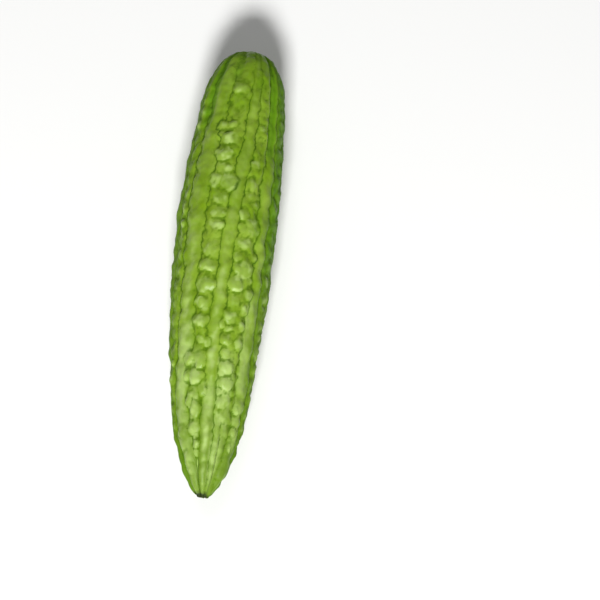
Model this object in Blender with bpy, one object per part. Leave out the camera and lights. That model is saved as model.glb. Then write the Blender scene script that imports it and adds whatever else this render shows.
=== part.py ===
"""A bitter melon of the pale, blunt-ribbed kind, picked and lying on its side.

The fruit lies along Y: the stem end points to +Y and the blossom end to -Y, and it rests on z = 0.
It is one solid: a ribbed body, a blossom scar at its tip, and the cut stub of its stem in a dimple.
"""

import math

import bmesh
import bpy
import numpy as np

# Whole fruit
LENGTH = 0.259                # blossom scar to the crest round the stem dimple
BOW = 0.0030                  # how far the middle of the fruit bends towards -X
AXIS_HEIGHT = 0.0277          # of the fruit's axis at its thickest place, above the surface
BELLY_FOLLOW = 0.5            # share of the thinning that the axis follows down to the surface

# Thickness along the body, before its ends are rounded: distance from the scar, and radius to the rib crests
BODY = (
    (0.000, 0.0185),
    (0.030, 0.0210),
    (0.060, 0.0230),
    (0.090, 0.0256),
    (0.120, 0.0278),
    (0.155, 0.0286),
    (0.185, 0.0277),
    (0.215, 0.0254),
    (0.259, 0.0240),
)
TIP_ROUNDING = 0.070          # length over which the blossom end narrows to its scar
SHOULDER_ROUNDING = 0.030     # length over which the stem end rounds off

# Blossom scar and stem
SCAR_RADIUS = 0.0025
SCAR_HEIGHT = 0.0009
SCAR_BEVEL = 0.0005
DIMPLE_RADIUS = 0.0070        # of the crest that runs round the dimple
DIMPLE_DEPTH = 0.0026
STUB_RADIUS = 0.0028
STUB_FLARE = 0.0004           # widening where the stub meets the dimple
STUB_HEIGHT = 0.0016

# Ribs: eight smooth ones and eight warty rows, in turn round the fruit. Each angle is where a
# lobe starts, in degrees from the top towards +X. The first lobe is a smooth rib. The lobes wind
# slowly round the fruit, and have these angles at TWIST_START.
LOBE_STARTS = (-92, -73, -52, -24, -4, 13, 40, 60, 84, 104, 124, 145, 165, 193, 214, 237)
TWIST = 100                   # degrees per metre towards the stem
TWIST_START = 0.142           # from the blossom scar
FURROW_DEPTH = 0.0013         # of the furrows between lobes, under a smooth rib's crest
WARTY_DROP = 0.0003           # how far a warty row's crest lies under a smooth rib's
FULL_FURROW_RADIUS = 0.014    # the furrows grow shallower where the fruit is thinner than this
DIMPLE_FURROW = 0.25          # share of the furrows' depth that is left at the dimple's crest

# Fineness of the surface
STEPS_PER_LOBE = 4
BODY_RINGS = 44
SHOULDER_RINGS = 7
TIP_CROWDING = 1.35           # above 1, the rings lie closer together near the tip, which turns quickly


def body_radius(distance):
    """Radius to the rib crests at a distance from the scar, on one smooth curve through BODY."""
    places = [place for place, _ in BODY]
    radii = [radius for _, radius in BODY]
    slopes = np.gradient(radii, places)
    span = min(max(np.searchsorted(places, distance) - 1, 0), len(BODY) - 2)
    width = places[span + 1] - places[span]
    t = (distance - places[span]) / width
    return (
        (2 * t**3 - 3 * t**2 + 1) * radii[span]
        + (t**3 - 2 * t**2 + t) * width * slopes[span]
        + (3 * t**2 - 2 * t**3) * radii[span + 1]
        + (t**3 - t**2) * width * slopes[span + 1]
    )


def axis_point(distance):
    """Where the bent axis is, at a distance from the scar."""
    thinning = max(radius for _, radius in BODY) - body_radius(distance)
    return (
        -BOW * math.sin(math.pi * distance / LENGTH),
        distance - LENGTH / 2,
        AXIS_HEIGHT - BELLY_FOLLOW * thinning,
    )


def meridian():
    """(distance from the scar, radius, share of the full furrow depth) of each ring, scar to stem."""
    rings = [(0.0, SCAR_RADIUS - SCAR_BEVEL, 0.0), (SCAR_BEVEL, SCAR_RADIUS, 0.0)]
    shoulder_start = LENGTH - SHOULDER_ROUNDING
    for step in range(BODY_RINGS):
        share = ((step + 0.5) / BODY_RINGS) ** TIP_CROWDING
        distance = SCAR_HEIGHT + (shoulder_start - SCAR_HEIGHT) * share
        narrowing = min(distance / TIP_ROUNDING, 1.0)
        radius = body_radius(distance) * math.sqrt(narrowing * (2 - narrowing))
        rings.append((distance, radius, min(radius / FULL_FURROW_RADIUS, 1.0)))
    for step in range(SHOULDER_RINGS + 1):
        share = step / SHOULDER_RINGS
        angle = math.pi / 2 * share
        distance = shoulder_start + SHOULDER_ROUNDING * math.sin(angle)
        radius = DIMPLE_RADIUS + (body_radius(distance) - DIMPLE_RADIUS) * math.cos(angle)
        rings.append((distance, radius, 1 - (1 - DIMPLE_FURROW) * share))
    dimple_floor = LENGTH - DIMPLE_DEPTH
    rings.append((LENGTH - DIMPLE_DEPTH / 2, (DIMPLE_RADIUS + STUB_RADIUS) / 2, 0.0))
    rings.append((dimple_floor, STUB_RADIUS + STUB_FLARE, 0.0))
    rings.append((dimple_floor + STUB_HEIGHT / 2, STUB_RADIUS, 0.0))
    rings.append((dimple_floor + STUB_HEIGHT, STUB_RADIUS, 0.0))
    return rings


def directions():
    """(angle, furrow share) round the fruit: 0 on a crest, and 1 in the furrow between two lobes."""
    around = []
    ends = LOBE_STARTS[1:] + (LOBE_STARTS[0] + 360,)
    for lobe, (start, end) in enumerate(zip(LOBE_STARTS, ends)):
        is_warty = lobe % 2
        drop = WARTY_DROP / FURROW_DEPTH if is_warty else 0.0
        for step in range(STEPS_PER_LOBE):
            across = step / STEPS_PER_LOBE
            crest = math.sqrt(math.sin(math.pi * across))
            around.append((math.radians(start + (end - start) * across), 1 - crest * (1 - drop)))
    return around


def skin_material(name):
    """Waxy, pale green skin."""
    material = bpy.data.materials.new(name)
    material.use_nodes = True
    shader = material.node_tree.nodes["Principled BSDF"]
    shader.inputs["Base Color"].default_value = (0.235, 0.365, 0.045, 1.0)
    shader.inputs["Roughness"].default_value = 0.4
    shader.inputs["Metallic"].default_value = 0.0
    return material


def build_fruit(name):
    """Lofts the fruit ring by ring, with a flat belly where it rests, closes its ends and centres it."""
    shape = bmesh.new()
    around = directions()
    rings = []
    for distance, radius, ribbing in meridian():
        x, y, z = axis_point(distance)
        turn = math.radians(TWIST * (distance - TWIST_START))
        ring = []
        for angle, furrow in around:
            reach = radius - FURROW_DEPTH * furrow * ribbing
            height = max(z + reach * math.cos(angle + turn), 0.0)
            ring.append(shape.verts.new((x + reach * math.sin(angle + turn), y, height)))
        rings.append(ring)
    for ring, following in zip(rings, rings[1:]):
        for step in range(len(ring)):
            beside = (step + 1) % len(ring)
            shape.faces.new((ring[step], following[step], following[beside], ring[beside]))
    for ring in (rings[0], rings[-1]):
        middle = sum((corner.co for corner in ring), ring[0].co * 0) / len(ring)
        pole = shape.verts.new(middle)
        for step in range(len(ring)):
            shape.faces.new((ring[step], ring[(step + 1) % len(ring)], pole))
    bmesh.ops.recalc_face_normals(shape, faces=shape.faces)
    sides = [corner.co.x for corner in shape.verts]
    bmesh.ops.translate(shape, verts=shape.verts, vec=(-(min(sides) + max(sides)) / 2, 0, 0))
    bmesh.ops.triangulate(shape, faces=shape.faces)
    mesh = bpy.data.meshes.new(name)
    shape.to_mesh(mesh)
    shape.free()
    mesh.shade_smooth()
    mesh.materials.append(skin_material("green_skin"))
    fruit = bpy.data.objects.new(name, mesh)
    bpy.context.scene.collection.objects.link(fruit)
    return fruit


for leftover in list(bpy.data.objects):
    bpy.data.objects.remove(leftover)
build_fruit("bitter_melon")
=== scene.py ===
"""How a picked bitter melon looks: its ribbed, warty, waxy skin, its dried blossom scar and cut stem."""

import math

import bmesh
import bpy
import numpy as np
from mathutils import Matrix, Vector


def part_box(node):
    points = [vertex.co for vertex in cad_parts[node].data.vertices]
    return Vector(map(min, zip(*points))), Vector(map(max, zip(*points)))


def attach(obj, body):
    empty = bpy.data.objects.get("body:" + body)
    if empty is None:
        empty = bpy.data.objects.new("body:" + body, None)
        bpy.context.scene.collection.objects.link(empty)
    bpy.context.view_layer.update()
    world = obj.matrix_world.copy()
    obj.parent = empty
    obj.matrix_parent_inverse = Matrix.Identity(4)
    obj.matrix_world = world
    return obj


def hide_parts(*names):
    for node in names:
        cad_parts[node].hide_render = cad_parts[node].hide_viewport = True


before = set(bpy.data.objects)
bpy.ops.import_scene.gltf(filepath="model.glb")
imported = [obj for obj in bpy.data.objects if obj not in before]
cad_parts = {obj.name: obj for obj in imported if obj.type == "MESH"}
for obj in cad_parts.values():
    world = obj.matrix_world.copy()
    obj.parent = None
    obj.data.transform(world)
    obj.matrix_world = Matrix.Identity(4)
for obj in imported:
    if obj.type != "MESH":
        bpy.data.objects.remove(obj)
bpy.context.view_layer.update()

low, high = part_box("bitter_melon")

# The body is a fleshy tube, thickest past its middle, which bends a little to one side. It grew as
# one piece, narrows to a blunt tip where the blossom sat, and rounds off at the stem. Here it is
# still plain, as wide as the floors of its furrows.

MELON_LENGTH = high.y - low.y
GREATEST_RADIUS = 0.0286
BOW = 0.0030                  # how far the axis bends towards -X at its middle
AXIS_HEIGHT = 0.0277
BELLY_FOLLOW = 0.5            # share of its thinning by which the axis sinks towards the floor
# (distance from the scar, radius to the rib crests there) before the two ends are rounded.
THICKNESS = (
    (0.000, 0.0185),
    (0.030, 0.0210),
    (0.060, 0.0230),
    (0.090, 0.0256),
    (0.120, 0.0278),
    (0.155, 0.0286),
    (0.185, 0.0277),
    (0.215, 0.0254),
    (0.259, 0.0240),
)
TIP_ROUNDING = 0.070          # lengths over which the two ends round off
SHOULDER_ROUNDING = 0.030
PIT_RADIUS = 0.0022           # the pit at the tip, where the scar sits, and its rim
PIT_DEPTH = 0.0014
RIM_RADIUS = 0.0034
RIM_DEPTH = 0.0004
DIMPLE_RADIUS = 0.0070        # the dimple in the shoulder, where the stem grows
DIMPLE_DEPTH = 0.0026
DIMPLE_STEPS = ((0.5, 0.72), (1.0, 0.45), (1.0, 0.0))    # (share of its depth, share of its radius)
RIB_RISE = 0.0020             # from a furrow's floor to a rib's crest
FULL_RISE_RADIUS = 0.010      # a thinner body than this has shallower furrows
LEAST_FLOOR = 0.6             # share of the radius that a furrow's floor always has
BODY_STEPS = 900
SHOULDER_STEPS = 200
SKIN_RINGS = 288
SKIN_SECTORS = 340
# Degrees from the top towards +X at which each crease runs, at these distances from the scar. Those
# on top and on the sides wander along the fruit.
STATIONS = (0.010, 0.045, 0.085, 0.125, 0.165, 0.205, 0.240)
CREASES = (
    (-92,) * 7,
    (-76, -80, -70, -66, -68, -68, -66),
    (-53, -67, -53, -48, -51, -51, -48),
    (-20, -31, -25, -23, -21, -15, -11),
    (-13, -10, -8, -3, 2, 11, 14),
    (12, 13, 12, 15, 20, 28, 27),
    (57, 44, 41, 43, 41, 46, 43),
    (84, 73, 67, 62, 60, 62, 60),
    (104, 90, 84, 84, 84, 84, 84),
    (118, 108, 104, 104, 104, 104, 104),
    (134, 127, 124, 124, 124, 124, 124),
    (145,) * 7,
    (165,) * 7,
    (193,) * 7,
    (214,) * 7,
    (237,) * 7,
)

# Furrows that grew wider and deeper: (lobe place, half width in lobes, from mm, to mm, depth in mm).
GULLIES = (
    (6.36, 0.40, 186, 266, 1.9),
    (2.05, 0.32, 202, 266, 1.4),
    (3.05, 0.28, 226, 262, 0.7),
    (4.95, 0.60, 224, 246, 0.8),
    (6.00, 0.25, 130, 186, 0.5),
    (1.50, 0.40, 4, 40, 0.9),
)
# Where the skin is paler, partly its own colour and partly a painted sheen along the ribs: (lobe place,
# half width in lobes, from mm, to mm, share of the pale colour).
PALE_AND_SHEEN_STRIPS = (
    (2.50, 0.38, 4, 60, 0.60),
    (2.60, 0.34, 30, 104, 0.90),
    (3.40, 0.40, 4, 84, 0.74),
    (4.50, 0.36, 30, 68, 0.85),
    (5.22, 0.40, 2, 60, 0.72),
    (5.30, 0.42, 26, 84, 0.88),
    (6.22, 0.25, 20, 118, 0.66),
)
STRIP_FADE = 0.014            # length over which a gully or a pale strip runs out at either end
# The flanks are darker: painted shade on the sides, over some deeper green of the skin. (distance from the
# scar, lobe place below which the left one starts), and (distance from the scar, how fast the right one
# deepens for each lobe past its start).
LEFT_FLANK = ((0.030, 2.2), (0.042, 2.5), (0.058, 2.5), (0.070, 2.2))
RIGHT_FLANK = ((0.015, 1.4), (0.035, 1.9), (0.090, 1.9), (0.130, 1.4))
RIGHT_FLANK_START = 6.45
# How far the skin is near-black round the blossom scar: it reaches this far, more so on one side.
SCARRED_REACH = 0.0022
SCARRED_LEAN = 0.0013
SCARRED_SIDE = -35            # degrees from the top towards +X


def crest_radius(distance):
    """Radius to the rib crests at a distance from the scar: a smooth cubic curve through THICKNESS."""
    places = np.array([place for place, _ in THICKNESS])
    radii = np.array([radius for _, radius in THICKNESS])
    slopes = np.gradient(radii, places)
    span = np.clip(np.searchsorted(places, distance) - 1, 0, len(places) - 2)
    width = places[span + 1] - places[span]
    t = (distance - places[span]) / width
    return (
        (2 * t**3 - 3 * t**2 + 1) * radii[span]
        + (t**3 - 2 * t**2 + t) * width * slopes[span]
        + (3 * t**2 - 2 * t**3) * radii[span + 1]
        + (t**3 - t**2) * width * slopes[span + 1]
    )


def melon_outline(count):
    """(distance from the scar, crest radius) along the outline, from the scar's pit to the stem's."""
    body_start = RIM_DEPTH * 3
    shoulder_start = MELON_LENGTH - SHOULDER_ROUNDING
    along_body = body_start + (shoulder_start - body_start) * np.linspace(0, 1, BODY_STEPS) ** 2
    narrowing = np.minimum(along_body / TIP_ROUNDING, 1)
    body = crest_radius(along_body) * np.sqrt(narrowing * (2 - narrowing))
    turn = np.linspace(0, math.pi / 2, SHOULDER_STEPS)[1:]
    along_shoulder = shoulder_start + SHOULDER_ROUNDING * np.sin(turn)
    shoulder = DIMPLE_RADIUS + (crest_radius(along_shoulder) - DIMPLE_RADIUS) * np.cos(turn)
    pit = [(PIT_DEPTH, 0.0), (PIT_DEPTH, PIT_RADIUS), (RIM_DEPTH, RIM_RADIUS)]
    dimple = [(MELON_LENGTH - DIMPLE_DEPTH * down, DIMPLE_RADIUS * out) for down, out in DIMPLE_STEPS]
    points = np.array(
        pit + list(zip(along_body, body)) + list(zip(along_shoulder, shoulder)) + dimple
    )
    travelled = np.concatenate([[0], np.cumsum(np.hypot(*np.diff(points, axis=0).T))])
    stops = np.linspace(0, travelled[-1], count)
    return np.interp(stops, travelled, points[:, 0]), np.interp(stops, travelled, points[:, 1])


def axis_at(distance):
    """Where the bent axis is, at a distance from the scar."""
    thinning = GREATEST_RADIUS - crest_radius(distance)
    return (
        -BOW * np.sin(math.pi * distance / MELON_LENGTH),
        distance - MELON_LENGTH / 2,
        AXIS_HEIGHT - BELLY_FOLLOW * thinning,
    )


def creases_at(distance):
    """Angles of the creases at a distance from the scar, and the first one's again a full turn on."""
    angles = [np.interp(distance, STATIONS, crease) for crease in CREASES]
    return angles + [angles[0] + 360]


def lobe_at(angle, distance):
    """Which lobe a place is on, from 0 to 16: a smooth rib's middle is at 0.5, a warty row's at 1.5."""
    creases = creases_at(distance)
    return np.interp((angle - creases[0]) % 360 + creases[0], creases, range(len(creases)))


def angle_of(lobe, distance):
    """The angle from the top towards +X, in degrees, at which a lobe place lies."""
    return np.interp(lobe, range(len(CREASES) + 1), creases_at(distance))


def strip_amount(strips, lobe, distance):
    """What a table of strips gives each place: nothing beside them, and easing out at their ends."""
    total = np.zeros_like(lobe)
    for place, half_width, start_mm, end_mm, amount in strips:
        begun = np.clip((distance - start_mm / 1000) / STRIP_FADE, 0, 1)
        ended = np.clip((end_mm / 1000 - distance) / STRIP_FADE, 0, 1)
        lasting = begun**2 * (3 - 2 * begun) * ended**2 * (3 - 2 * ended)
        total = np.maximum(total, amount * lasting * np.exp(-((lobe - place) / half_width) ** 4))
    return total


def plain_body():
    """The body without its relief: one closed mesh that knows its lobes and its distance from the scar."""
    distance, radius = melon_outline(SKIN_RINGS + 2)
    furrow = RIB_RISE * np.minimum(radius / FULL_RISE_RADIUS, 1)
    reach = np.maximum(radius - furrow, radius * LEAST_FLOOR)
    x, y, z = axis_at(distance)
    angle = np.arange(SKIN_SECTORS) * 360 / SKIN_SECTORS
    turn = np.radians(angle)
    rings = range(1, SKIN_RINGS + 1)
    ring_points = [
        np.column_stack([
            x[ring] + reach[ring] * np.sin(turn),
            np.full(SKIN_SECTORS, y[ring]),
            z[ring] + reach[ring] * np.cos(turn),
        ])
        for ring in rings
    ]
    lobes = [lobe_at(angle, distance[ring]) for ring in rings]
    points = np.vstack(ring_points + [[(x[0], y[0], z[0])], [(x[-1], y[-1], z[-1])]])
    tip, stem = SKIN_RINGS * SKIN_SECTORS, SKIN_RINGS * SKIN_SECTORS + 1
    faces = []
    for ring in range(SKIN_RINGS - 1):
        first, second = ring * SKIN_SECTORS, (ring + 1) * SKIN_SECTORS
        for step in range(SKIN_SECTORS):
            beside = (step + 1) % SKIN_SECTORS
            faces.append((first + step, first + beside, second + beside, second + step))
    last = (SKIN_RINGS - 1) * SKIN_SECTORS
    for step in range(SKIN_SECTORS):
        beside = (step + 1) % SKIN_SECTORS
        faces.append((tip, beside, step))
        faces.append((stem, last + step, last + beside))
    mesh = bpy.data.meshes.new("bitter_melon_skin")
    mesh.from_pydata(points.tolist(), [], faces)
    lobe = np.concatenate([np.concatenate(lobes), [0, 0]])
    along = np.concatenate([np.repeat(distance[1:-1], SKIN_SECTORS), [distance[0], distance[-1]]])
    around = np.concatenate([np.tile(angle, SKIN_RINGS), [0, 0]])
    # Painted shade on the flanks, over some deeper green of the skin: where it starts and how fast it
    # deepens.
    left_flank = np.interp(along, *zip(*LEFT_FLANK)) - lobe
    right_flank = np.interp(along, *zip(*RIGHT_FLANK)) * (lobe - RIGHT_FLANK_START)
    facts = {
        "lobe": lobe,
        "along": along,
        "thick": np.concatenate([np.repeat(radius[1:-1], SKIN_SECTORS), [0, 0]]),
        "gully": strip_amount(GULLIES, lobe, along) / 1000,
        "paler": strip_amount(PALE_AND_SHEEN_STRIPS, lobe, along),
        "flank": np.clip(np.maximum(left_flank, right_flank), 0, 1),
        "scarred": SCARRED_REACH + SCARRED_LEAN * np.cos(np.radians(around - SCARRED_SIDE)) - along,
    }
    for name, values in facts.items():
        mesh.attributes.new(name, "FLOAT", "POINT").data.foreach_set("value", values.astype(np.float32))
    mesh.shade_smooth()
    return mesh


skin = bpy.data.objects.new("bitter_melon_skin", plain_body())
bpy.context.scene.collection.objects.link(skin)

# The warts sit in eight rows between the ribs. Each is a fleshy pillow that swelled in its place and
# pressed against its neighbours. In the rows on top they are placed one by one, and the rows round
# the back go on in the same rhythm.

# Each wart is (mm from the scar, place across its row, breadth, length and rise in mm). A row's edges
# are at -1 and 1, and some warts swelled over them onto the ribs.
MIDDLE_ROW_WARTS = (
    (230, -0.2, 9.5, 9.0, 1.9), (214, -0.3, 4.5, 4.5, 1.5), (207, -1.3, 8.0, 8.5, 1.7),
    (207.5, -0.3, 6.0, 6.0, 1.8), (202, -1.1, 5.5, 6.0, 1.6), (199, -0.2, 10.5, 9.0, 2.1),
    (189.5, -0.4, 11.0, 10.0, 2.1), (181.5, -0.1, 9.5, 8.5, 1.7), (174, -0.7, 8.0, 11.0, 1.8),
    (173.5, 0.8, 10.5, 12.0, 2.1), (164, 0.2, 9.5, 9.0, 1.9), (156, 0.2, 10.5, 8.5, 1.6),
    (148.5, 0.2, 9.5, 8.0, 2.0), (137, 0.1, 9.5, 15.0, 1.6), (125.5, -0.1, 10.5, 9.0, 2.0),
    (115.5, 0.0, 11.5, 11.5, 2.0), (104.5, -0.1, 10.0, 6.5, 2.1), (101, 0.2, 6.0, 4.0, 1.4),
    (95, 0.0, 9.5, 8.5, 2.0), (84.5, 0.2, 5.5, 7.0, 1.8), (83.5, 1.2, 5.5, 7.0, 1.9),
    (75, 0.4, 7.5, 12.5, 1.8), (74.5, -1.3, 8.0, 9.5, 2.1),
    (65, -0.2, 10.0, 11.0, 1.9), (63, -1.3, 4.5, 6.0, 2.0), (59, 1.1, 5.5, 12.5, 1.8),
    (56, -0.3, 6.5, 7.5, 1.6), (46.5, 0.2, 6.0, 12.5, 2.0), (50, -0.9, 4.5, 8.0, 1.7),
    (36, -0.2, 8.5, 10.5, 1.8), (27.5, 0.4, 4.5, 6.0, 1.5), (23.5, 0.4, 4.5, 5.5, 1.4),
)
RIGHT_ROW_WARTS = (
    (208, -0.3, 5.5, 5.5, 1.5), (185.5, -0.4, 7.0, 7.0, 1.9), (174.5, -0.3, 5.5, 12.0, 1.6),
    (167, -0.2, 5.5, 5.0, 1.5), (162, 0.4, 6.0, 6.0, 1.4), (156, -0.7, 7.0, 7.5, 1.8),
    (150, 0.4, 10.0, 12.5, 1.9), (148, -0.6, 6.5, 8.0, 1.7), (140.5, -0.2, 10.0, 9.5, 1.7),
    (132, -0.6, 5.5, 7.0, 1.8), (126, 0.1, 11.0, 13.0, 1.9), (133, 1.0, 5.5, 6.5, 1.6),
    (118, -0.4, 10.0, 11.5, 2.0), (119.5, 0.7, 6.0, 6.0, 1.6), (112.5, 0.9, 6.5, 9.0, 1.8),
    (108.5, -0.4, 6.5, 8.5, 1.5), (104.5, 0.7, 6.0, 9.5, 2.0), (98.5, -0.5, 8.5, 10.0, 1.9),
    (94.5, -1.2, 5.0, 7.5, 1.6), (91.5, -0.4, 6.5, 5.5, 1.6), (94.5, 0.6, 6.0, 8.0, 1.7),
    (86, -0.6, 7.5, 8.5, 1.9), (86, 0.7, 5.5, 11.5, 1.7), (79, -0.4, 6.5, 9.5, 1.8),
    (71, -0.2, 8.5, 9.0, 2.2),
    (62.5, -0.1, 8.0, 10.0, 2.0), (52, -0.2, 8.0, 11.0, 2.0), (48, 1.45, 4.0, 5.0, 2.1),
    (36, 1.5, 4.5, 6.5, 2.2), (27, 1.3, 4.0, 6.0, 2.2),
)
WARTY_ROWS = 8
ROW_OF_MIDDLE_WARTS = 1
ROW_OF_RIGHT_WARTS = 2
NARROW_ROW = 0
NARROW_ROW_SHARE = 0.75
DOUBLE_ROWS = (4, 5)
WART_SEED = 11
# How the other rows grow: sizes in mm, shares of the spacing or the breadth, and places across a row.
FIRST_WART = 30
LAST_WART = 226
WART_SPACING = 8.2
SPACING_SHARES = (0.8, 1.25)
DOUBLE_ROW_SPACING = 0.62
WART_BREADTHS = (6.0, 10.0)
LENGTH_SHARES = (0.85, 1.4)
WART_RISES = (1.5, 2.1)
LEAST_VIGOUR = 0.6            # how much of its size a wart has at the row's ends
STRAYING = 0.3                # how far off its row's middle a wart stands at most
COLUMN_PLACES = (0.35, 0.7)   # how far off it the two columns of a double row stand
# Now and then a smaller wart grows beside one. Its breadth and length are shares of that one's
# breadth, and its rise is a share of that one's rise.
COMPANION_CHANCE = 0.35
COMPANION_ASIDE = 0.4
COMPANION_SHIFT = 2
COMPANION_SHARES = (0.6, 0.7, 0.85)
# A wart leans a little towards the stem, and near the tip it leans with the skin towards the scar.
STEMWARD_LEAN = 0.12
TIPWARD_LEAN = 0.9
# A wart's pillow is this much broader and higher than what shows, because its foot is in the skin.
SUNKEN_BREADTH = 1.15
SUNKEN_RISE = 1.35


def grown_row(dice, row):
    """Warts for a row that isn't listed: one column, or two that stand in each other's gaps."""
    warts = []
    double = row in DOUBLE_ROWS
    spacing = WART_SPACING * DOUBLE_ROW_SPACING if double else WART_SPACING
    narrow = NARROW_ROW_SHARE if row == NARROW_ROW else 1.0
    place = FIRST_WART + dice.uniform(0, WART_SPACING)
    side = 1
    while place < LAST_WART:
        row_share = (place - FIRST_WART) / (LAST_WART - FIRST_WART)
        vigour = LEAST_VIGOUR + (1 - LEAST_VIGOUR) * math.sqrt(math.sin(math.pi * row_share))
        breadth = narrow * dice.uniform(*WART_BREADTHS) * vigour
        across = side * dice.uniform(*COLUMN_PLACES) if double else dice.uniform(-STRAYING, STRAYING)
        rise = dice.uniform(*WART_RISES)
        warts.append((place, across, breadth, breadth * dice.uniform(*LENGTH_SHARES) / narrow, rise))
        if dice.random() < COMPANION_CHANCE:
            beside = -across - COMPANION_ASIDE * side
            shifted = place + dice.uniform(-COMPANION_SHIFT, COMPANION_SHIFT)
            small, long, low_rise = COMPANION_SHARES
            warts.append((shifted, beside, breadth * small, breadth * long, rise * low_rise))
        place += spacing * dice.uniform(*SPACING_SHARES)
        side = -side
    return warts


def wart_beds():
    """The points that the warts grow from, each with its size and the way out of the body."""
    dice = np.random.default_rng(WART_SEED)
    points, sizes, outward = [], [], []
    for row in range(WARTY_ROWS):
        if row == ROW_OF_MIDDLE_WARTS:
            warts = MIDDLE_ROW_WARTS
        elif row == ROW_OF_RIGHT_WARTS:
            warts = RIGHT_ROW_WARTS
        else:
            warts = grown_row(dice, row)
        for along_mm, across, breadth, length, rise in warts:
            distance = along_mm / 1000
            angle = math.radians(angle_of(2 * row + 1.5 + 0.5 * across, distance))
            narrowing = min(distance / TIP_ROUNDING, 1)
            rounding = max(distance - (MELON_LENGTH - SHOULDER_ROUNDING), 0) / SHOULDER_ROUNDING
            radius = crest_radius(distance) * math.sqrt(narrowing * (2 - narrowing) * (1 - rounding**2))
            x, y, z = axis_at(distance)
            way = Vector((math.sin(angle), 0, math.cos(angle)))
            lean = STEMWARD_LEAN - TIPWARD_LEAN * (1 - narrowing)
            points.append(Vector((x, y, z)) + way * (radius - RIB_RISE))
            outward.append((way + Vector((0, lean, 0))).normalized())
            half_breadth, half_length = SUNKEN_BREADTH * breadth / 2000, SUNKEN_BREADTH * length / 2000
            sizes.append((half_breadth, half_length, SUNKEN_RISE * rise / 1000))
    mesh = bpy.data.meshes.new("wart_beds")
    mesh.from_pydata([tuple(point) for point in points], [], [])
    for name, values in (("spread", sizes), ("outward", outward)):
        flat = [number for value in values for number in value]
        mesh.attributes.new(name, "FLOAT_VECTOR", "POINT").data.foreach_set("vector", flat)
    return mesh


beds = bpy.data.objects.new("wart_beds", wart_beds())
bpy.context.scene.collection.objects.link(beds)

# The relief is what makes the fruit's skin: eight smooth ribs and the warty rows between them, with a
# sharp crease wherever a rib meets a wart. Ribs and warts swell from the same skin as the fruit grows,
# and its waxy finish is paler on what swelled, partly by painted highlights, while painted shade darkens
# the creases.


class Wiring:
    """Adds nodes to a tree. An input is given a number, a colour or the output that feeds it."""

    def __init__(self, tree):
        self.tree = tree

    def add(self, kind, given=None, **settings):
        node = self.tree.nodes.new(kind)
        for name, value in settings.items():
            setattr(node, name, value)
        for key, value in (given or {}).items():
            socket = node.inputs[key]
            if isinstance(value, bpy.types.NodeSocket):
                self.tree.links.new(value, socket)
            else:
                socket.default_value = value
        return node

    def worked(self, operation, *values):
        return self.add("ShaderNodeMath", dict(enumerate(values)), operation=operation).outputs[0]

    def times(self, first, *others):
        for other in others:
            first = self.worked("MULTIPLY", first, other)
        return first

    def plus(self, first, *others):
        for other in others:
            first = self.worked("ADD", first, other)
        return first

    def less(self, first, second):
        return self.worked("SUBTRACT", first, second)

    def size_of(self, value):
        """The value without its sign."""
        return self.worked("ABSOLUTE", value)

    def between(self, value, start, end, low_end=0.0, high_end=1.0):
        """Eases from low_end to high_end while the value goes from start to end."""
        limits = {"Value": value, "From Min": start, "From Max": end}
        limits.update({"To Min": low_end, "To Max": high_end})
        return self.add("ShaderNodeMapRange", limits, interpolation_type="SMOOTHSTEP").outputs[0]

    def mixed(self, share, first, second):
        """The first colour, with a share of the second."""
        colours = {"Factor": share, 6: first, 7: second}
        return self.add("ShaderNodeMix", colours, data_type="RGBA").outputs[2]


class ReliefWiring(Wiring):
    """Wiring that grows a relief on a body: it knows the body's facts, and its noise has a seed."""

    def __init__(self, tree, seed):
        super().__init__(tree)
        self.seed = seed

    def spot(self):
        return self.add("GeometryNodeInputPosition").outputs[0]

    def fact(self, name, kind="FLOAT"):
        return self.add("GeometryNodeInputNamedAttribute", {"Name": name}, data_type=kind).outputs[0]

    def cloud(self, scale, detail):
        shape = {"Vector": self.spot(), "W": self.seed, "Scale": scale, "Detail": detail}
        return self.add("ShaderNodeTexNoise", shape, noise_dimensions="4D").outputs

    def noise(self, scale, detail=2.0):
        """Smooth noise round 0. Its scale is in patches to the metre."""
        return self.less(self.cloud(scale, detail)[0], 0.5)

    def vector(self, operation, first, second):
        numbers = {0: first, "Scale" if operation == "SCALE" else 1: second}
        return self.add("ShaderNodeVectorMath", numbers, operation=operation).outputs[0]

    def stored(self, geometry, name, value):
        what = {"Geometry": geometry, "Name": name, "Value": value}
        kept = self.add("GeometryNodeStoreNamedAttribute", what, data_type="FLOAT", domain="POINT")
        return kept.outputs[0]

    def blurred(self, value, rounds):
        what = {0: value, "Iterations": rounds}
        return self.add("GeometryNodeBlurAttribute", what, data_type="FLOAT").outputs[0]

    def thinness(self, full_radius):
        """1 where the body has this radius, and less where it is thinner."""
        return self.worked("MINIMUM", self.worked("DIVIDE", self.fact("thick"), full_radius), 1.0)


THIN_RADIUS = 0.011           # a thinner body than this has lower ribs and rows
SWELL_RADIUS = 0.014          # and a thinner one than this swells less
SETTLING_FROM = 0.048         # how far before the stem's end the relief starts to settle
SETTLED_BY = 0.006            # how far before it the relief has settled
SETTLED_SHARE = 0.28          # of its height that it then keeps
ROW_HALF_WIDTH = 0.56         # in lobes
WART_SOFTENING = 0.25         # how much a wart's sides slope outwards, from 0 for a plain ball
WART_REACH = 0.008            # farther out than any wart
WART_FEATHER = 0.0006         # over how much of their height a wart and its row run together
CREASE_FEATHER = 0.0001       # the same where a rib meets a wart, which stays sharp
DEEPEST_FURROW = -0.0012      # measured from the plain body
HOLLOW_ROUNDS = 7             # of blurring, which finds the hollows
# Scales of what is uneven, in patches to the metre.
SLOW_WANDER = 110.0
QUICK_WANDER = 380.0
RIB_KNOBS = 150.0
ROW_BUMPS = 230.0
WART_BUMPS = 260.0
BROAD_UNEVENNESS = 28.0
DENTS = 75.0
RIPPLES = 160.0

# Below, where something eases with along, its two places are metres from the scar.


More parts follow.
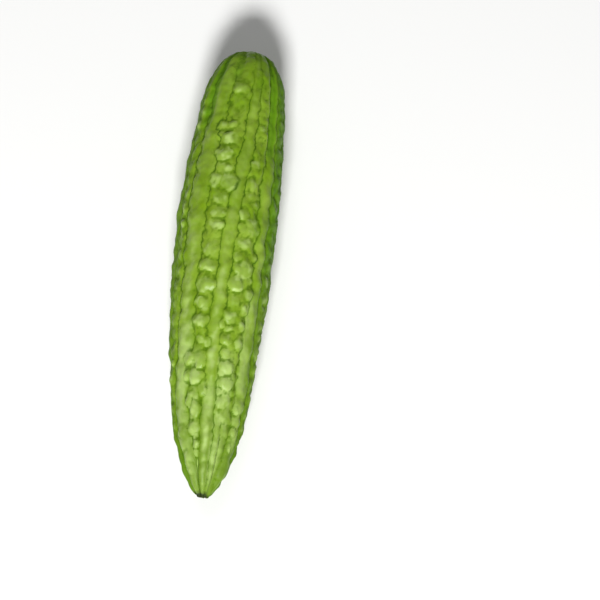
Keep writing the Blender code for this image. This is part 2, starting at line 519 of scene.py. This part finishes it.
def creases_in(wire, given):
    """The lobe place that the creases' wandering gives a spot, and how far it is off its rib's middle."""
    slow = wire.times(wire.noise(SLOW_WANDER, 1.0), wire.times(given["Wander"], 1.2))
    quick = wire.times(wire.noise(QUICK_WANDER), wire.times(given["Wander"], 0.8))
    calmer_at_tip = wire.between(wire.fact("along"), 0.015, 0.100, 0.25, 1.0)
    strayed = wire.plus(wire.fact("lobe"), wire.times(wire.plus(slow, quick), calmer_at_tip))
    off_rib = wire.worked("FLOORED_MODULO", wire.plus(wire.less(strayed, 0.5), 1.0), 2.0)
    return strayed, wire.size_of(wire.less(off_rib, 1.0))


def settled(wire):
    """The share of its height that the relief keeps as it settles into the shoulder."""
    start, end = MELON_LENGTH - SETTLING_FROM, MELON_LENGTH - SETTLED_BY
    return wire.between(wire.fact("along"), start, end, 1.0, SETTLED_SHARE)


def rib_height(wire, given, off_rib):
    """A rib is square-backed with low knobs, and towards the tip rounder, wider and knobblier."""
    along, thin = wire.fact("along"), wire.thinness(THIN_RADIUS)
    half_width = wire.between(along, 0.004, 0.045, 0.85, 0.55)
    squareness = wire.between(along, 0.030, 0.110, 1.9, 3.0)
    fall = wire.worked("POWER", wire.worked("DIVIDE", off_rib, half_width), squareness)
    rib = wire.times(given["Rib rise"], wire.less(1.0, fall))
    rib = wire.times(rib, wire.times(settled(wire), thin))
    rib = wire.times(rib, wire.between(along, 0.070, 0.025, 1.0, 1.3))
    knobs = wire.times(wire.noise(RIB_KNOBS, 1.0), given["Rib bumps"], thin)
    knobs = wire.times(knobs, wire.between(along, 0.190, 0.120, 0.3, 1.0))
    return wire.plus(rib, wire.times(knobs, wire.between(along, 0.070, 0.030, 1.0, 1.9)))


def row_height(wire, given, strayed, off_rib):
    """A row is uneven skin that its warts stand on. One has a fold along it, near the tip."""
    along, thin = wire.fact("along"), wire.thinness(THIN_RADIUS)
    off_row = wire.less(1.0, off_rib)
    squareness = wire.between(along, 0.020, 0.090, 1.8, 5.0)
    fall = wire.worked("POWER", wire.worked("DIVIDE", off_row, ROW_HALF_WIDTH), squareness)
    row = wire.times(given["Row rise"], wire.less(1.0, fall))
    row = wire.plus(row, wire.times(wire.noise(ROW_BUMPS), given["Row bumps"]))
    row = wire.times(row, wire.times(wire.between(along, 0.006, 0.040), thin, settled(wire)))
    off_fold = wire.size_of(wire.less(strayed, given["Fold place"]))
    fold = wire.less(1.0, wire.worked("POWER", wire.worked("DIVIDE", off_fold, given["Fold width"]), 2.0))
    fold = wire.times(wire.worked("MAXIMUM", fold, -1.0), given["Fold rise"])
    fold = wire.times(fold, wire.times(thin, wire.between(along, 0.055, 0.038)))
    return wire.worked("MAXIMUM", row, fold)


def wart_pillows(wire, given):
    """A pillow on each bed: a ball with sloping sides, as large as its wart and turned its way."""
    ball = wire.add("GeometryNodeMeshIcoSphere", {"Radius": 1.0, "Subdivisions": 4}).outputs["Mesh"]
    corner = wire.add("ShaderNodeSeparateXYZ", {0: wire.spot()}).outputs
    sloped = wire.times(corner["Z"], wire.worked("POWER", wire.size_of(corner["Z"]), WART_SOFTENING))
    sloped = {"X": corner["X"], "Y": corner["Y"], "Z": sloped}
    sloped = wire.add("ShaderNodeCombineXYZ", sloped).outputs[0]
    pillow = wire.add("GeometryNodeSetPosition", {"Geometry": ball, "Position": sloped}).outputs[0]
    source = {"Object": given["Wart beds"]}
    source = wire.add("GeometryNodeObjectInfo", source, transform_space="ORIGINAL").outputs
    way = {"Vector": wire.fact("outward", "FLOAT_VECTOR")}
    upright = wire.add("FunctionNodeAlignRotationToVector", way, axis="Z").outputs[0]
    placed = wire.add(
        "GeometryNodeInstanceOnPoints",
        {"Points": source["Geometry"], "Instance": pillow, "Rotation": upright,
         "Scale": wire.fact("spread", "FLOAT_VECTOR")},
    ).outputs[0]
    warts = wire.add("GeometryNodeRealizeInstances", {"Geometry": placed}).outputs[0]
    push = wire.vector("SUBTRACT", wire.cloud(WART_BUMPS, 2.0)["Color"], (0.5, 0.5, 0.5))
    push = wire.vector("SCALE", push, given["Wart roughness"])
    return wire.add("GeometryNodeSetPosition", {"Geometry": warts, "Offset": push}).outputs[0]


def wart_height(wire, given, outward):
    """How high the pillows reach over a spot, felt from above, so that the skin is drawn over them."""
    above = wire.vector("ADD", wire.spot(), wire.vector("SCALE", outward, WART_REACH))
    felt = wire.add(
        "GeometryNodeRaycast",
        {"Target Geometry": wart_pillows(wire, given), "Source Position": above,
         "Ray Direction": wire.vector("SCALE", outward, -1.0), "Ray Length": WART_REACH},
    ).outputs
    wart = wire.times(felt["Is Hit"], wire.less(WART_REACH, felt["Hit Distance"]))
    return wire.times(wart, wire.between(wire.fact("along"), 0.000, 0.022))


def relief_tree():
    """Grows ribs and warts on the plain body, and tells the skin's finish where its creases are."""
    tree = bpy.data.node_groups.new("ribs_and_warts", "GeometryNodeTree")
    tree.interface.new_socket("Body", in_out="INPUT", socket_type="NodeSocketGeometry")
    tree.interface.new_socket("Skin", in_out="OUTPUT", socket_type="NodeSocketGeometry")
    tree.interface.new_socket("Wart beds", in_out="INPUT", socket_type="NodeSocketObject")
    tree.interface.new_socket("Finish", in_out="INPUT", socket_type="NodeSocketMaterial")
    for name in (
        "Rib rise", "Rib bumps", "Row rise", "Row bumps", "Fold place", "Fold width", "Fold rise",
        "Wander", "Unevenness", "Dents", "Ripples", "Wart roughness", "Seed",
    ):
        tree.interface.new_socket(name, in_out="INPUT", socket_type="NodeSocketFloat")
    given = tree.nodes.new("NodeGroupInput").outputs
    wire = ReliefWiring(tree, given["Seed"])
    outward = wire.add("GeometryNodeInputNormal").outputs[0]

    strayed, off_rib = creases_in(wire, given)
    rib = rib_height(wire, given, off_rib)
    wart = wart_height(wire, given, outward)
    warty = wire.worked("SMOOTH_MAX", row_height(wire, given, strayed, off_rib), wart, WART_FEATHER)
    height = wire.worked("SMOOTH_MAX", rib, warty, CREASE_FEATHER)
    height = wire.worked("MAXIMUM", wire.less(height, wire.fact("gully")), DEEPEST_FURROW)
    swell = wire.plus(
        wire.times(wire.noise(BROAD_UNEVENNESS, 1.0), given["Unevenness"]),
        wire.times(wire.noise(DENTS, 1.0), given["Dents"]),
        wire.times(wire.noise(RIPPLES, 1.5), given["Ripples"]),
    )
    swell = wire.times(swell, wire.thinness(SWELL_RADIUS))

    # Height and swell give the skin its shape. The rest is kept on the mesh for its finish: gap, wart
    # and hollow in mm, and off_rib in lobes.
    marked = wire.stored(given["Body"], "height", height)
    marked = wire.stored(marked, "gap", wire.times(wire.less(rib, warty), 1000.0))
    marked = wire.stored(marked, "swell", swell)
    marked = wire.stored(marked, "wart", wire.times(wart, 1000.0))
    marked = wire.stored(marked, "off_rib", off_rib)
    relief = wire.fact("height")
    hollow = wire.less(wire.blurred(relief, HOLLOW_ROUNDS), relief)
    marked = wire.stored(marked, "hollow", wire.times(hollow, 1000.0))

    rise = wire.vector("SCALE", outward, wire.plus(wire.blurred(relief, 1), wire.fact("swell")))
    shaped = wire.add("GeometryNodeSetPosition", {"Geometry": marked, "Offset": rise}).outputs[0]
    # The belly is pressed flat where the fruit lies on it.
    rested = {"Geometry": shaped, "Position": wire.vector("MAXIMUM", wire.spot(), (-1.0, -1.0, 0.0))}
    rested = wire.add("GeometryNodeSetPosition", rested).outputs[0]
    whole = wire.add("GeometryNodeRealizeInstances", {"Geometry": rested}).outputs[0]
    finished = {"Geometry": whole, "Material": given["Finish"]}
    finished = wire.add("GeometryNodeSetMaterial", finished).outputs[0]
    tree.links.new(finished, tree.nodes.new("NodeGroupOutput").inputs["Skin"])
    return tree


# The skin's colours and its painted light and shade, from the fresh green of its furrows to the near-black
# ring round the scar.
FRESH_GREEN = (0.150, 0.265, 0.008, 1)
LIGHT_GREEN = (0.205, 0.325, 0.024, 1)
LEAFY_PATCH = (0.140, 0.245, 0.002, 1)
STEM_END_GREEN = (0.134, 0.265, 0.006, 1)
# Painted shade: the tip end is darker and greyer.
TIP_END_SHADE_GREEN = (0.120, 0.205, 0.016, 1)
# Painted shade on the side of the tip that turns away from the light.
TIP_FAR_SIDE_SHADE_GREEN = (0.085, 0.165, 0.006, 1)
# Paler wart tops: partly their own colour, partly a painted highlight.
WART_PALE_AND_HIGHLIGHT_GREEN = (0.280, 0.410, 0.080, 1)
# Painted highlight flecks on the warts.
WART_HIGHLIGHT_FLECK = (0.370, 0.510, 0.140, 1)
# Paler skin with a painted sheen, on the ribs' backs and the pale strips.
PALE_AND_SHEEN_GREEN = (0.330, 0.459, 0.120, 1)
# Painted shade of the flanks, over some deeper green of the skin.
FLANK_SHADE_GREEN = (0.085, 0.180, 0.002, 1)
# Painted shade on the right side's stem half.
RIGHT_SIDE_SHADE_GREEN = (0.065, 0.180, 0.001, 1)
# Painted shade in the gullies.
GULLY_SHADE_GREEN = (0.094, 0.238, 0.0005, 1)
# Painted shade at the shoulder's end.
SHOULDER_SHADE_GREEN = (0.075, 0.170, 0.002, 1)
# Painted shade in the hollows, over the skin's deeper green there.
HOLLOW_SHADE_GREEN = (0.070, 0.150, 0.001, 1)
# Painted shade in the creases, also the colour of the fine cracks.
CREASE_SHADE_AND_CRACK_GREEN = (0.035, 0.095, 0.0003, 1)
# Near-black skin round the blossom scar.
DARK_SKIN_ROUND_SCAR = (0.012, 0.020, 0.003, 1)


class FinishWiring(Wiring):
    """Wiring for a finish: it reads the facts kept on the piece's mesh, and its noise fills the piece."""

    def place(self):
        return self.add("ShaderNodeTexCoord").outputs["Object"]

    def fact(self, name):
        return self.add("ShaderNodeAttribute", attribute_name=name).outputs["Fac"]

    def noise(self, scale, detail=2.0):
        """Smooth noise round 0.5. Its scale is in patches to the metre."""
        shape = {"Vector": self.place(), "Scale": scale, "Detail": detail}
        return self.add("ShaderNodeTexNoise", shape).outputs[0]


def raised(wire):
    """1 on top of a wart, 0 on ribs and between the warts."""
    warty = wire.between(wire.fact("gap"), 0.1, -0.3)
    return wire.times(warty, wire.between(wire.fact("wart"), 1.4, 3.0))


def ground_colour(wire):
    """Mottled green, with painted shade: darker and greyer at the tip, and darker on the side of the tip
    that turns away from the light.
    """
    along = wire.fact("along")
    fresh = wire.mixed(wire.between(wire.noise(60.0, 3.0), 0.35, 0.65), FRESH_GREEN, LIGHT_GREEN)
    fresh = wire.mixed(wire.between(wire.noise(40.0, 1.0), 0.55, 0.72, 0.0, 0.6), fresh, LEAFY_PATCH)
    ground = wire.mixed(wire.between(along, 0.190, 0.250, 0.0, 0.3), fresh, STEM_END_GREEN)
    # Painted shade at the tip end.
    ground = wire.mixed(wire.between(along, 0.065, 0.015, 0.0, 0.75), ground, TIP_END_SHADE_GREEN)
    # Painted shade on the side of the tip that turns away from the light.
    far_side_shade = wire.times(wire.between(wire.fact("lobe"), 5.7, 6.6), wire.between(along, 0.042, 0.018))
    return wire.mixed(far_side_shade, ground, TIP_FAR_SIDE_SHADE_GREEN)


def with_paleness_and_highlights(wire, ground):
    """Warts are paler on top, partly their own colour and partly a painted highlight, with painted
    highlight flecks. The ribs' backs and the pale strips carry a painted sheen over paler skin, most of
    all near the tip.
    """
    # Paler wart tops, partly a painted highlight, and painted highlight flecks on them.
    warts = wire.mixed(wire.times(raised(wire), 0.50), ground, WART_PALE_AND_HIGHLIGHT_GREEN)
    highlight_flecks = wire.times(raised(wire), wire.between(wire.noise(190.0, 1.0), 0.44, 0.62, 0.0, 0.85))
    warts = wire.mixed(highlight_flecks, warts, WART_HIGHLIGHT_FLECK)
    # A painted sheen along the ribs' backs, over paler skin.
    rib_sheen = wire.between(wire.fact("off_rib"), 0.36, 0.0)
    rib_sheen = wire.times(rib_sheen, wire.between(wire.fact("along"), 0.190, 0.080, 0.15, 0.80))
    rib_sheen = wire.times(rib_sheen, wire.between(wire.fact("lobe"), 6.1, 6.6, 1.0, 0.35))
    rib_sheen = wire.times(rib_sheen, wire.between(wire.noise(120.0, 2.0), 0.40, 0.62, 0.20, 1.0))
    # The pale strips: paler skin with a painted sheen.
    strip = wire.times(wire.fact("paler"), wire.between(wire.noise(130.0, 2.0), 0.32, 0.60, 0.25, 1.0))
    return wire.mixed(wire.worked("MAXIMUM", rib_sheen, strip), warts, PALE_AND_SHEEN_GREEN)


def with_side_and_gully_shade(wire, colour):
    """Painted shade: the flanks, over some deeper green of the skin, the right side's stem half, the
    gullies and the shoulder's end are darker.
    """
    along, lobe = wire.fact("along"), wire.fact("lobe")
    # Painted shade on the flanks, over some deeper green of the skin, with less of it on the warts' tops.
    flank = wire.times(wire.fact("flank"), wire.between(raised(wire), 0.0, 1.0, 0.76, 0.34))
    colour = wire.mixed(flank, colour, FLANK_SHADE_GREEN)
    # Painted shade on the right side's stem half.
    right_side_shade = wire.times(wire.between(lobe, 6.6, 7.2, 0.0, 0.6), wire.between(lobe, 9.5, 8.0))
    right_side_shade = wire.times(right_side_shade, wire.between(along, 0.105, 0.150))
    colour = wire.mixed(right_side_shade, colour, RIGHT_SIDE_SHADE_GREEN)
    # Painted shade in the gullies.
    colour = wire.mixed(wire.between(wire.fact("gully"), 0.0, 0.0014, 0.0, 0.8), colour, GULLY_SHADE_GREEN)
    # Painted shade at the shoulder's end.
    return wire.mixed(wire.between(along, 0.247, 0.257, 0.0, 0.6), colour, SHOULDER_SHADE_GREEN)


def crease_lines(wire):
    """Painted shade in the creases: ragged dark lines along them, broken here and there and faint near
    both ends.
    """
    along = wire.fact("along")
    ragged = wire.plus(wire.fact("gap"), wire.times(wire.less(wire.noise(900.0), 0.5), 0.5))
    strength = wire.between(wire.noise(110.0, 2.0), 0.38, 0.58, 0.15, 0.80)
    strength = wire.times(strength, wire.between(along, 0.050, 0.140, 0.15, 1.0))
    strength = wire.times(strength, wire.between(along, 0.245, 0.205, 0.2, 1.0))
    strength = wire.times(strength, wire.between(wire.fact("flank"), 0.0, 0.6, 1.0, 0.60))
    return wire.times(wire.between(wire.size_of(ragged), 0.72, 0.08), strength)


def side_ticks(wire):
    """Short fine cracks that run off the creases, where the edges of wavy cells cross them."""
    place = wire.place()
    warp = {"Vector": place, "Scale": 260.0, "Detail": 1.0}
    warp = wire.add("ShaderNodeTexNoise", warp).outputs["Color"]
    wavy = {0: warp, 1: (0.004, 0.004, 0.004), 2: place}
    wavy = wire.add("ShaderNodeVectorMath", wavy, operation="MULTIPLY_ADD").outputs[0]
    cells = {"Vector": wavy, "Scale": 210.0, "Randomness": 1.0}
    edge = wire.add("ShaderNodeTexVoronoi", cells, feature="DISTANCE_TO_EDGE").outputs[0]
    near_crease = wire.between(wire.size_of(wire.fact("gap")), 1.3, 0.3)
    tick = wire.times(wire.between(edge, 0.075, 0.0), near_crease)
    return wire.times(tick, wire.between(wire.noise(160.0), 0.42, 0.60, 0.0, 0.6))


def with_creases(wire, colour):
    """Painted shade deepens the hollows, over the skin's deeper green there, and the crease lines of
    painted shade and the fine cracks lie in them.
    """
    shaded = wire.between(wire.fact("hollow"), 0.00, 0.36)
    shaded = wire.times(shaded, wire.between(wire.fact("along"), 0.030, 0.090, 0.92, 0.78))
    shaded = wire.times(shaded, wire.between(wire.fact("flank"), 0.2, 1.0, 1.0, 0.4))
    # Painted shade in the hollows.
    colour = wire.mixed(shaded, colour, HOLLOW_SHADE_GREEN)
    # Painted shade along the creases, and the fine cracks.
    return wire.mixed(wire.worked("MAXIMUM", crease_lines(wire), side_ticks(wire)), colour, CREASE_SHADE_AND_CRACK_GREEN)


def darkened_share(wire):
    """How dark the skin is round the blossom scar, with a ragged edge that follows the furrows."""
    darkened = wire.plus(wire.fact("scarred"), wire.times(wire.less(wire.noise(500.0), 0.5), 0.004))
    darkened = wire.plus(darkened, wire.between(wire.fact("hollow"), 0.0, 0.3, -0.0004, 0.0006))
    return wire.between(darkened, -0.0014, 0.0012, 0.0, 0.95)


def roughness(wire):
    """The wax is glossiest on the warts, and dull in hollows, gullies and creases and at the tip."""
    rough = wire.between(wire.noise(120.0, 3.0), 0.3, 0.7, 0.36, 0.46)
    for duller in (
        wire.between(raised(wire), 0.0, 0.5, 0.0, -0.04),
        wire.between(wire.fact("hollow"), 0.00, 0.15, 0.0, 0.55),
        wire.between(wire.fact("gully"), 0.0, 0.0010, 0.0, 0.35),
        wire.between(wire.size_of(wire.fact("gap")), 1.2, 0.2, 0.0, 0.45),
        wire.between(wire.fact("along"), 0.080, 0.020, 0.0, 0.10),
        wire.between(wire.fact("flank"), 0.3, 1.0, 0.0, 0.20),
    ):
        rough = wire.plus(rough, duller)
    return wire.worked("MINIMUM", rough, 1.0)


def skin_finish():
    """Waxy green skin: pale on its warts and ribs, partly from painted highlights, with painted shade in
    its creases and on its flanks, finely pored all over.
    """
    material = bpy.data.materials.new("waxy_green_skin")
    material.use_nodes = True
    shader = material.node_tree.nodes["Principled BSDF"]
    wire = FinishWiring(material.node_tree)
    colour = with_paleness_and_highlights(wire, ground_colour(wire))
    colour = with_creases(wire, with_side_and_gully_shade(wire, colour))
    colour = wire.mixed(darkened_share(wire), colour, DARK_SKIN_ROUND_SCAR)
    pores = {"Height": wire.noise(1400.0), "Strength": 0.10, "Distance": 0.0003}
    pores = wire.add("ShaderNodeBump", pores).outputs[0]
    material.node_tree.links.new(colour, shader.inputs["Base Color"])
    material.node_tree.links.new(roughness(wire), shader.inputs["Roughness"])
    material.node_tree.links.new(pores, shader.inputs["Normal"])
    shader.inputs["Subsurface Weight"].default_value = 0.08
    shader.inputs["Subsurface Radius"].default_value = (0.5, 1.0, 0.2)
    shader.inputs["Subsurface Scale"].default_value = 0.002
    shader.inputs["Specular IOR Level"].default_value = 0.16
    return material


def set_input(modifier, name, value):
    """Sets a modifier's input by its socket's identifier."""
    for item in modifier.node_group.interface.items_tree:
        if item.item_type == "SOCKET" and item.in_out == "INPUT" and item.name == name:
            modifier[item.identifier] = value


growth = skin.modifiers.new("growth", "NODES")
growth.node_group = relief_tree()
for name, value in (
    ("Wart beds", beds),
    ("Finish", skin_finish()),
    ("Rib rise", RIB_RISE),
    ("Rib bumps", 0.0016),
    ("Row rise", 0.0017),
    ("Row bumps", 0.0034),
    ("Fold place", 5.20),
    ("Fold width", 0.24),
    ("Fold rise", 0.0022),
    ("Wander", 0.45),
    ("Unevenness", 0.0008),
    ("Dents", 0.0016),
    ("Ripples", 0.0024),
    ("Wart roughness", 0.0030),
    ("Seed", 3.0),
):
    set_input(growth, name, value)
bpy.context.view_layer.update()
grown = bpy.data.meshes.new_from_object(skin.evaluated_get(bpy.context.evaluated_depsgraph_get()))
skin.modifiers.remove(growth)
skin.data = grown
skin.data.name = "bitter_melon_skin"
sides = [corner.co.x for corner in skin.data.vertices]
SIDE_SHIFT = (low.x + high.x) / 2 - (min(sides) + max(sides)) / 2
for corner in skin.data.vertices:
    corner.co.x += SIDE_SHIFT
bpy.data.objects.remove(beds)
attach(skin, "root")
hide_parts("bitter_melon")

# The blossom scar is the dried, dark button that is left where the flower dropped off. It sits in the
# pit at the tip, where the ribs run together, and its edge is ragged and curls over the skin.

SCAR_RADIUS = 0.0026
SCAR_STEPS = 60
# (distance from the tip's end, share of the radius) of each ring, from its buried root to the middle.
SCAR_PROFILE = (
    (0.0028, 0.70), (0.0018, 0.86), (0.0010, 1.00), (0.0005, 1.06), (0.0001, 0.98), (0.0003, 0.84),
    (0.0007, 0.66), (0.0009, 0.48), (0.0006, 0.32), (0.0003, 0.20), (0.0002, 0.10),
)
# (waves round the scar, size, phase) of how its edge wavers: in and out, as shares of the radius, and
# to and fro, in metres.
SCAR_WAVERS = ((3, 0.10, 1), (8, 0.06, 0), (13, 0.04, 2))
SCAR_CURLS = ((5, 0.00035, 2), (11, 0.000245, 0))
SCAR_BROWN = (0.050, 0.040, 0.016, 1)
SCAR_BLACK = (0.006, 0.007, 0.003, 1)


def closed_loft(name, rings):
    """One closed mesh through rings of points, closed at a point in the middle of either end ring."""
    shape = bmesh.new()
    corners = [[shape.verts.new(point) for point in ring] for ring in rings]
    for ring, following in zip(corners, corners[1:]):
        for step in range(len(ring)):
            beside = (step + 1) % len(ring)
            shape.faces.new((ring[step], ring[beside], following[beside], following[step]))
    for ring in (corners[0], corners[-1]):
        middle = shape.verts.new(sum((corner.co for corner in ring), Vector()) / len(ring))
        for step in range(len(ring)):
            shape.faces.new((ring[step], ring[(step + 1) % len(ring)], middle))
    bmesh.ops.recalc_face_normals(shape, faces=shape.faces)
    mesh = bpy.data.meshes.new(name)
    shape.to_mesh(mesh)
    shape.free()
    mesh.shade_smooth()
    return mesh


def waves(turn, table):
    """The waves of a table, added up at a turn round the axis."""
    return sum(size * math.sin(count * turn + phase) for count, size, phase in table)


def scar_rings():
    """Rings of the scar, each with an edge that wavers in and out and to and fro."""
    x, y, z = axis_at(0.0)
    rings = []
    for distance, share in SCAR_PROFILE:
        ring = []
        for step in range(SCAR_STEPS):
            turn = 2 * math.pi * step / SCAR_STEPS
            reach = SCAR_RADIUS * share * (1 + waves(turn, SCAR_WAVERS) * share)
            forth = share * waves(turn, SCAR_CURLS)
            ring.append((
                x + SIDE_SHIFT + reach * math.sin(turn),
                y + max(distance - forth, 0.0),
                z + reach * math.cos(turn),
            ))
        rings.append(ring)
    return rings


def dull_finish(name, dark, light, grain, bump_height):
    """A dull, uneven plant finish, mottled between two colours. Its grain is in patches to the metre."""
    material = bpy.data.materials.new(name)
    material.use_nodes = True
    shader = material.node_tree.nodes["Principled BSDF"]
    wire = FinishWiring(material.node_tree)
    mottle = wire.noise(grain, 3.0)
    bump = wire.add("ShaderNodeBump", {"Height": mottle, "Strength": 0.6, "Distance": bump_height})
    material.node_tree.links.new(wire.mixed(mottle, dark, light), shader.inputs["Base Color"])
    material.node_tree.links.new(bump.outputs[0], shader.inputs["Normal"])
    shader.inputs["Roughness"].default_value = 0.8
    shader.inputs["Specular IOR Level"].default_value = 0.25
    return material


scar = bpy.data.objects.new("blossom_scar", closed_loft("blossom_scar", scar_rings()))
bpy.context.scene.collection.objects.link(scar)
darkened = dull_finish("dried_scar", SCAR_BLACK, SCAR_BROWN, grain=1500.0, bump_height=0.0004)
scar.data.materials.append(darkened)
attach(scar, "root")

# The stem was cut off level with the shoulder when the fruit was picked. Its stub stands in the
# dimple: a green, five-ribbed stalk with a pale, fibrous cut face that has begun to dry at its edge.

STUB_RADIUS = 0.0028
STUB_STEPS = 80
STUB_RIBS = 5
STUB_RIB_DEPTH = 0.09         # shares of the radius
STUB_FLATNESS = 0.03
CUT_TILT = 0.00012
CUT_RAGGEDNESS = 0.00004
STALK_GREEN = (0.105, 0.170, 0.020, 1)
STALK_LIGHT_GREEN = (0.190, 0.270, 0.045, 1)
PITH = (0.46, 0.47, 0.23, 1)
PITH_FIBRE = (0.24, 0.27, 0.09, 1)
DRYING_EDGE = (0.16, 0.12, 0.045, 1)
# (distance below the shoulder's crest, share of the radius, 1 on the cut face) of each ring.
STUB_PROFILE = (
    (0.0042, 1.45, 0), (0.0030, 1.32, 0), (0.0026, 1.16, 0), (0.0021, 1.03, 0), (0.0015, 1.00, 0),
    (0.00115, 0.99, 0), (0.0010, 0.95, 0), (0.0010, 0.91, 1), (0.0011, 0.80, 1), (0.0012, 0.60, 1),
    (0.0012, 0.40, 1), (0.0013, 0.22, 1), (0.0014, 0.08, 1),
)


def stub_rings():
    """Rings of the stub, ribbed like the stalk, with a slightly dished cut."""
    rings = []
    for depth, share, _ in STUB_PROFILE:
        x, y, z = axis_at(MELON_LENGTH - depth)
        ring = []
        for step in range(STUB_STEPS):
            turn = 2 * math.pi * step / STUB_STEPS
            ribbing = STUB_RIB_DEPTH * math.cos(STUB_RIBS * turn + 0.4)
            ribbing += STUB_FLATNESS * math.sin(2 * turn + 1)
            reach = STUB_RADIUS * share * (1 + ribbing * min(share, 1))
            tilt = CUT_TILT * share * math.sin(turn + 1) + CUT_RAGGEDNESS * math.sin(9 * turn)
            ring.append((x + SIDE_SHIFT + reach * math.sin(turn), y + tilt, z + reach * math.cos(turn)))
        rings.append(ring)
    return rings


def cut_stem_finish():
    """Green stalk, and a pale cut face with darker fibres and a drying edge."""
    material = dull_finish("cut_stem", STALK_GREEN, STALK_LIGHT_GREEN, grain=900.0, bump_height=0.0003)
    shader = material.node_tree.nodes["Principled BSDF"]
    wire = FinishWiring(material.node_tree)
    stalk = shader.inputs["Base Color"].links[0].from_socket
    cells = {"Vector": wire.place(), "Scale": 2600.0}
    fibres = wire.add("ShaderNodeTexVoronoi", cells, feature="F1").outputs[0]
    drying = wire.between(wire.fact("out"), 0.72, 0.95, 0.0, 0.75)
    face = wire.mixed(drying, wire.mixed(fibres, PITH, PITH_FIBRE), DRYING_EDGE)
    colour = wire.mixed(wire.fact("cut"), stalk, face)
    material.node_tree.links.new(colour, shader.inputs["Base Color"])
    return material


stub_mesh = closed_loft("stem_stub", stub_rings())
for name, column, in_middle in (("out", 1, 0), ("cut", 2, 1)):
    values = [row[column] for row in STUB_PROFILE for _ in range(STUB_STEPS)]
    values += [STUB_PROFILE[0][column], in_middle]
    stub_mesh.attributes.new(name, "FLOAT", "POINT").data.foreach_set("value", values)
stub = bpy.data.objects.new("stem_stub", stub_mesh)
bpy.context.scene.collection.objects.link(stub)
stub.data.materials.append(cut_stem_finish())
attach(stub, "root")

# The floor is a plain pale sheet, matt as card. The fruit lies loose on it, on the flattened back of
# its belly rib.

FLOOR_REACH = 6.0
floor_mesh = bpy.data.meshes.new("floor")
corners = [(-FLOOR_REACH, -FLOOR_REACH, 0), (FLOOR_REACH, -FLOOR_REACH, 0)]
corners += [(FLOOR_REACH, FLOOR_REACH, 0), (-FLOOR_REACH, FLOOR_REACH, 0)]
floor_mesh.from_pydata(corners, [], [(0, 1, 2, 3)])
floor = bpy.data.objects.new("floor", floor_mesh)
bpy.context.scene.collection.objects.link(floor)
floor_paint = bpy.data.materials.new("pale_floor")
floor_paint.use_nodes = True
floor_paint.node_tree.nodes["Principled BSDF"].inputs["Base Color"].default_value = (0.82, 0.82, 0.81, 1)
floor_paint.node_tree.nodes["Principled BSDF"].inputs["Roughness"].default_value = 0.9
floor_mesh.materials.append(floor_paint)

# The light is a plain soft studio's: a broad lamp beyond the tip, a weaker one overhead and behind
# the stem, and an even white surround that lifts the shadows.

LIT_SPOT = Vector((0, 0, 0.03))


def soft_lamp(name, place, size, power):
    """A broad lamp that shines on the middle of the fruit."""
    lamp = bpy.data.lights.new(name, "AREA")
    lamp.shape = "RECTANGLE"
    lamp.size, lamp.size_y = size
    lamp.energy = power
    holder = bpy.data.objects.new(name, lamp)
    bpy.context.scene.collection.objects.link(holder)
    holder.location = place
    holder.rotation_euler = (LIT_SPOT - Vector(place)).to_track_quat("-Z", "Y").to_euler()


soft_lamp("key_lamp", place=(0.10, -2.15, 2.05), size=(0.80, 0.55), power=125)
soft_lamp("top_lamp", place=(-0.30, 1.20, 2.20), size=(1.20, 1.20), power=12)
surround = bpy.data.worlds.new("surround")
surround.use_nodes = True
surround.node_tree.nodes["Background"].inputs["Color"].default_value = (1.0, 1.0, 1.0, 1)
surround.node_tree.nodes["Background"].inputs["Strength"].default_value = 0.14
bpy.context.scene.world = surround
bpy.context.scene.view_settings.view_transform = "Standard"

# The camera looks steeply down on the fruit from its tip's side, through a long lens. Its aim is off
# to the right of the fruit, which puts the fruit left of the picture's middle.

CAMERA_AZIMUTH = math.radians(-5.6)
CAMERA_ELEVATION = math.radians(78)
CAMERA_DISTANCE = 0.90
CAMERA_LENS = 95
AIM_RIGHT = 0.0442
AIM_UP = -0.0178
AIM_HEIGHT = 0.028
camera = bpy.data.objects.new("camera", bpy.data.cameras.new("camera"))
bpy.context.scene.collection.objects.link(camera)
camera.data.lens = CAMERA_LENS
level = Vector((math.sin(CAMERA_AZIMUTH), math.cos(CAMERA_AZIMUTH), 0))
forward = level * math.cos(CAMERA_ELEVATION) - Vector((0, 0, math.sin(CAMERA_ELEVATION)))
right = forward.cross(Vector((0, 0, 1))).normalized()
up = right.cross(forward)
aim = Vector((0, 0, AIM_HEIGHT)) + right * AIM_RIGHT + up * AIM_UP
camera.location = aim - forward * CAMERA_DISTANCE
camera.rotation_euler = forward.to_track_quat("-Z", "Y").to_euler()
bpy.context.scene.camera = camera
